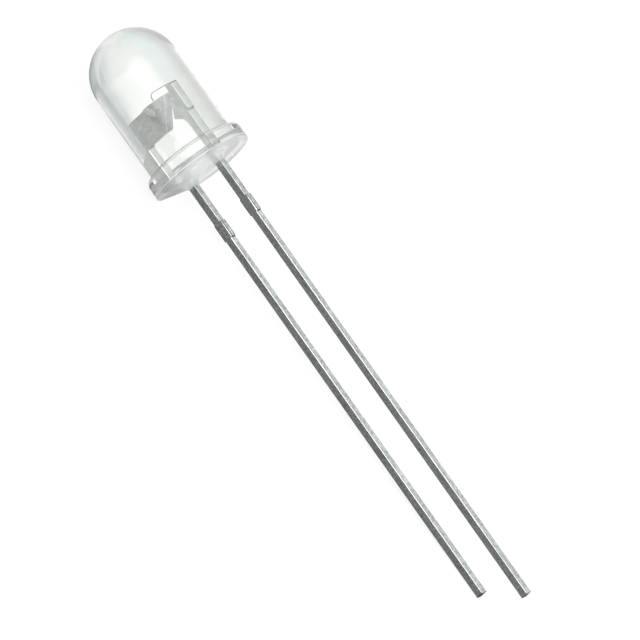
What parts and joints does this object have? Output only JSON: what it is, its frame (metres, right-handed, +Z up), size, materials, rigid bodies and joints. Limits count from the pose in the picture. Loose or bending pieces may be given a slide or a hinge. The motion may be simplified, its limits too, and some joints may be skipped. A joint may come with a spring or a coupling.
{
  "type": "through hole led",
  "caption": "Round clear-lensed through hole LED with a flanged epoxy body and straight leads, lying on its flange flat.",
  "frame": {"origin": "centre of the flange's underside, on the optical axis", "axes": "+Z up from the surface that the part lies on; +X from the origin along the leads, which drop 2.13 degrees towards their ends; the dome points to -X, the cathode leg is below and the anode leg above; +Y completes the right-handed frame"},
  "size_m": [0.0375, 0.0058, 0.0054],
  "materials": {
    "clear_epoxy": "gloss",
    "tinned_lead": "satin",
    "chip": "satin",
    "silver_epoxy": "matte",
    "gold_wire": "polished"
  },
  "bodies": {
    "root": {"lens_body": "clear_epoxy", "cathode_lead": "tinned_lead", "anode_lead": "tinned_lead", "led_chip": "chip", "die_attach": "silver_epoxy", "bond_wire": "gold_wire"}
  },
  "joints": []
}
